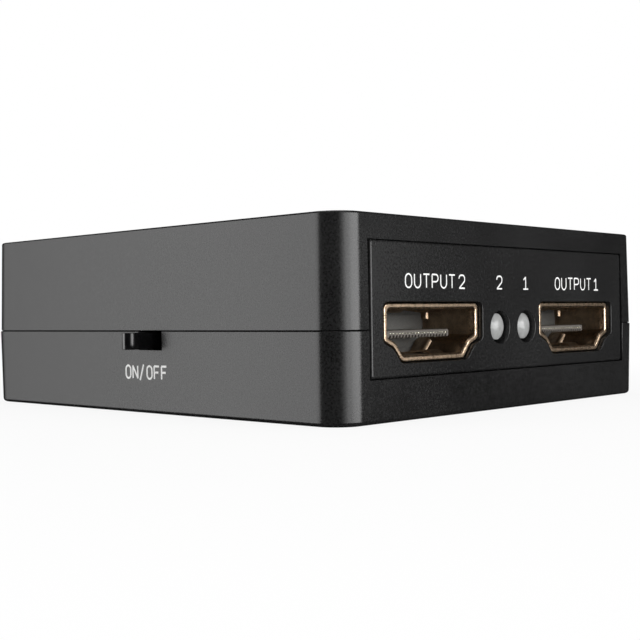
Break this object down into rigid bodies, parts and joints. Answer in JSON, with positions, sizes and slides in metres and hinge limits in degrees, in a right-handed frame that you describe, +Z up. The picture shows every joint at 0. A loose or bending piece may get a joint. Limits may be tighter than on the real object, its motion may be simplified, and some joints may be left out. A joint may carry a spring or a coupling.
{
  "type": "hdmi splitter",
  "caption": "Small flat black box that copies one video input to a pair of output sockets, with status lamps, a power inlet and a side slide switch.",
  "frame": {"origin": "centre of the flat underside", "axes": "+Z up; -Y out of the output sockets; +Y out of the input socket and power inlet; -X out of the side with the slide switch"},
  "size_m": [0.0593, 0.06, 0.02],
  "materials": {
    "case_plastic": "fine matte moulded texture",
    "panel_plastic": "fine matte moulded texture",
    "lever_plastic": "smooth moulded",
    "socket_gold": "thin bright gold plating on stamped sheet",
    "contact_gold": "gold plated contacts",
    "insulator_plastic": "moulded insulator",
    "lamp_lens": "milky diffusing lens",
    "plain_steel": "tinned or plated steel",
    "inlet_plastic": "smooth moulded",
    "screw_steel": "dark plated steel",
    "board_laminate": "green solder mask",
    "chip_plastic": "moulded chip package",
    "ferrite": "ferrite drum",
    "ceramic": "fired ceramic",
    "resistor_film": "resistor film on ceramic",
    "can_aluminium": "drawn can"
  },
  "bodies": {
    "case": {"upper_case": "case_plastic", "lower_case": "case_plastic", "output_panel": "panel_plastic", "input_panel": "panel_plastic", "case_screws": "screw_steel", "circuit_board": "board_laminate", "output_1_shell": "socket_gold", "output_1_insulator": "insulator_plastic", "output_1_contacts": "contact_gold", "output_2_shell": "socket_gold", "output_2_insulator": "insulator_plastic", "output_2_contacts": "contact_gold", "input_shell": "socket_gold", "input_insulator": "insulator_plastic", "input_contacts": "contact_gold", "lamp_1": "lamp_lens", "lamp_2": "lamp_lens", "lamp_leads": "plain_steel", "inlet_housing": "inlet_plastic", "inlet_pin": "plain_steel", "inlet_spring": "plain_steel", "switch_frame": "plain_steel", "switch_base": "inlet_plastic", "switch_contacts": "contact_gold", "splitter_chip": "chip_plastic", "memory_chips": "chip_plastic", "voltage_regulators": "chip_plastic", "chip_leads": "plain_steel", "power_inductor": "ferrite", "bulk_capacitors": "can_aluminium", "clock_crystal": "plain_steel", "chip_capacitors": "ceramic", "chip_resistors": "resistor_film", "surge_arrays": "chip_plastic"},
    "switch_lever": {"switch_slider": "lever_plastic", "switch_clip": "contact_gold"}
  },
  "joints": [
    {"name": "switch_slide", "type": "slide", "parent": "case", "child": "switch_lever", "axis": [0, -1, 0], "range_m": [0, 0.002]}
  ]
}
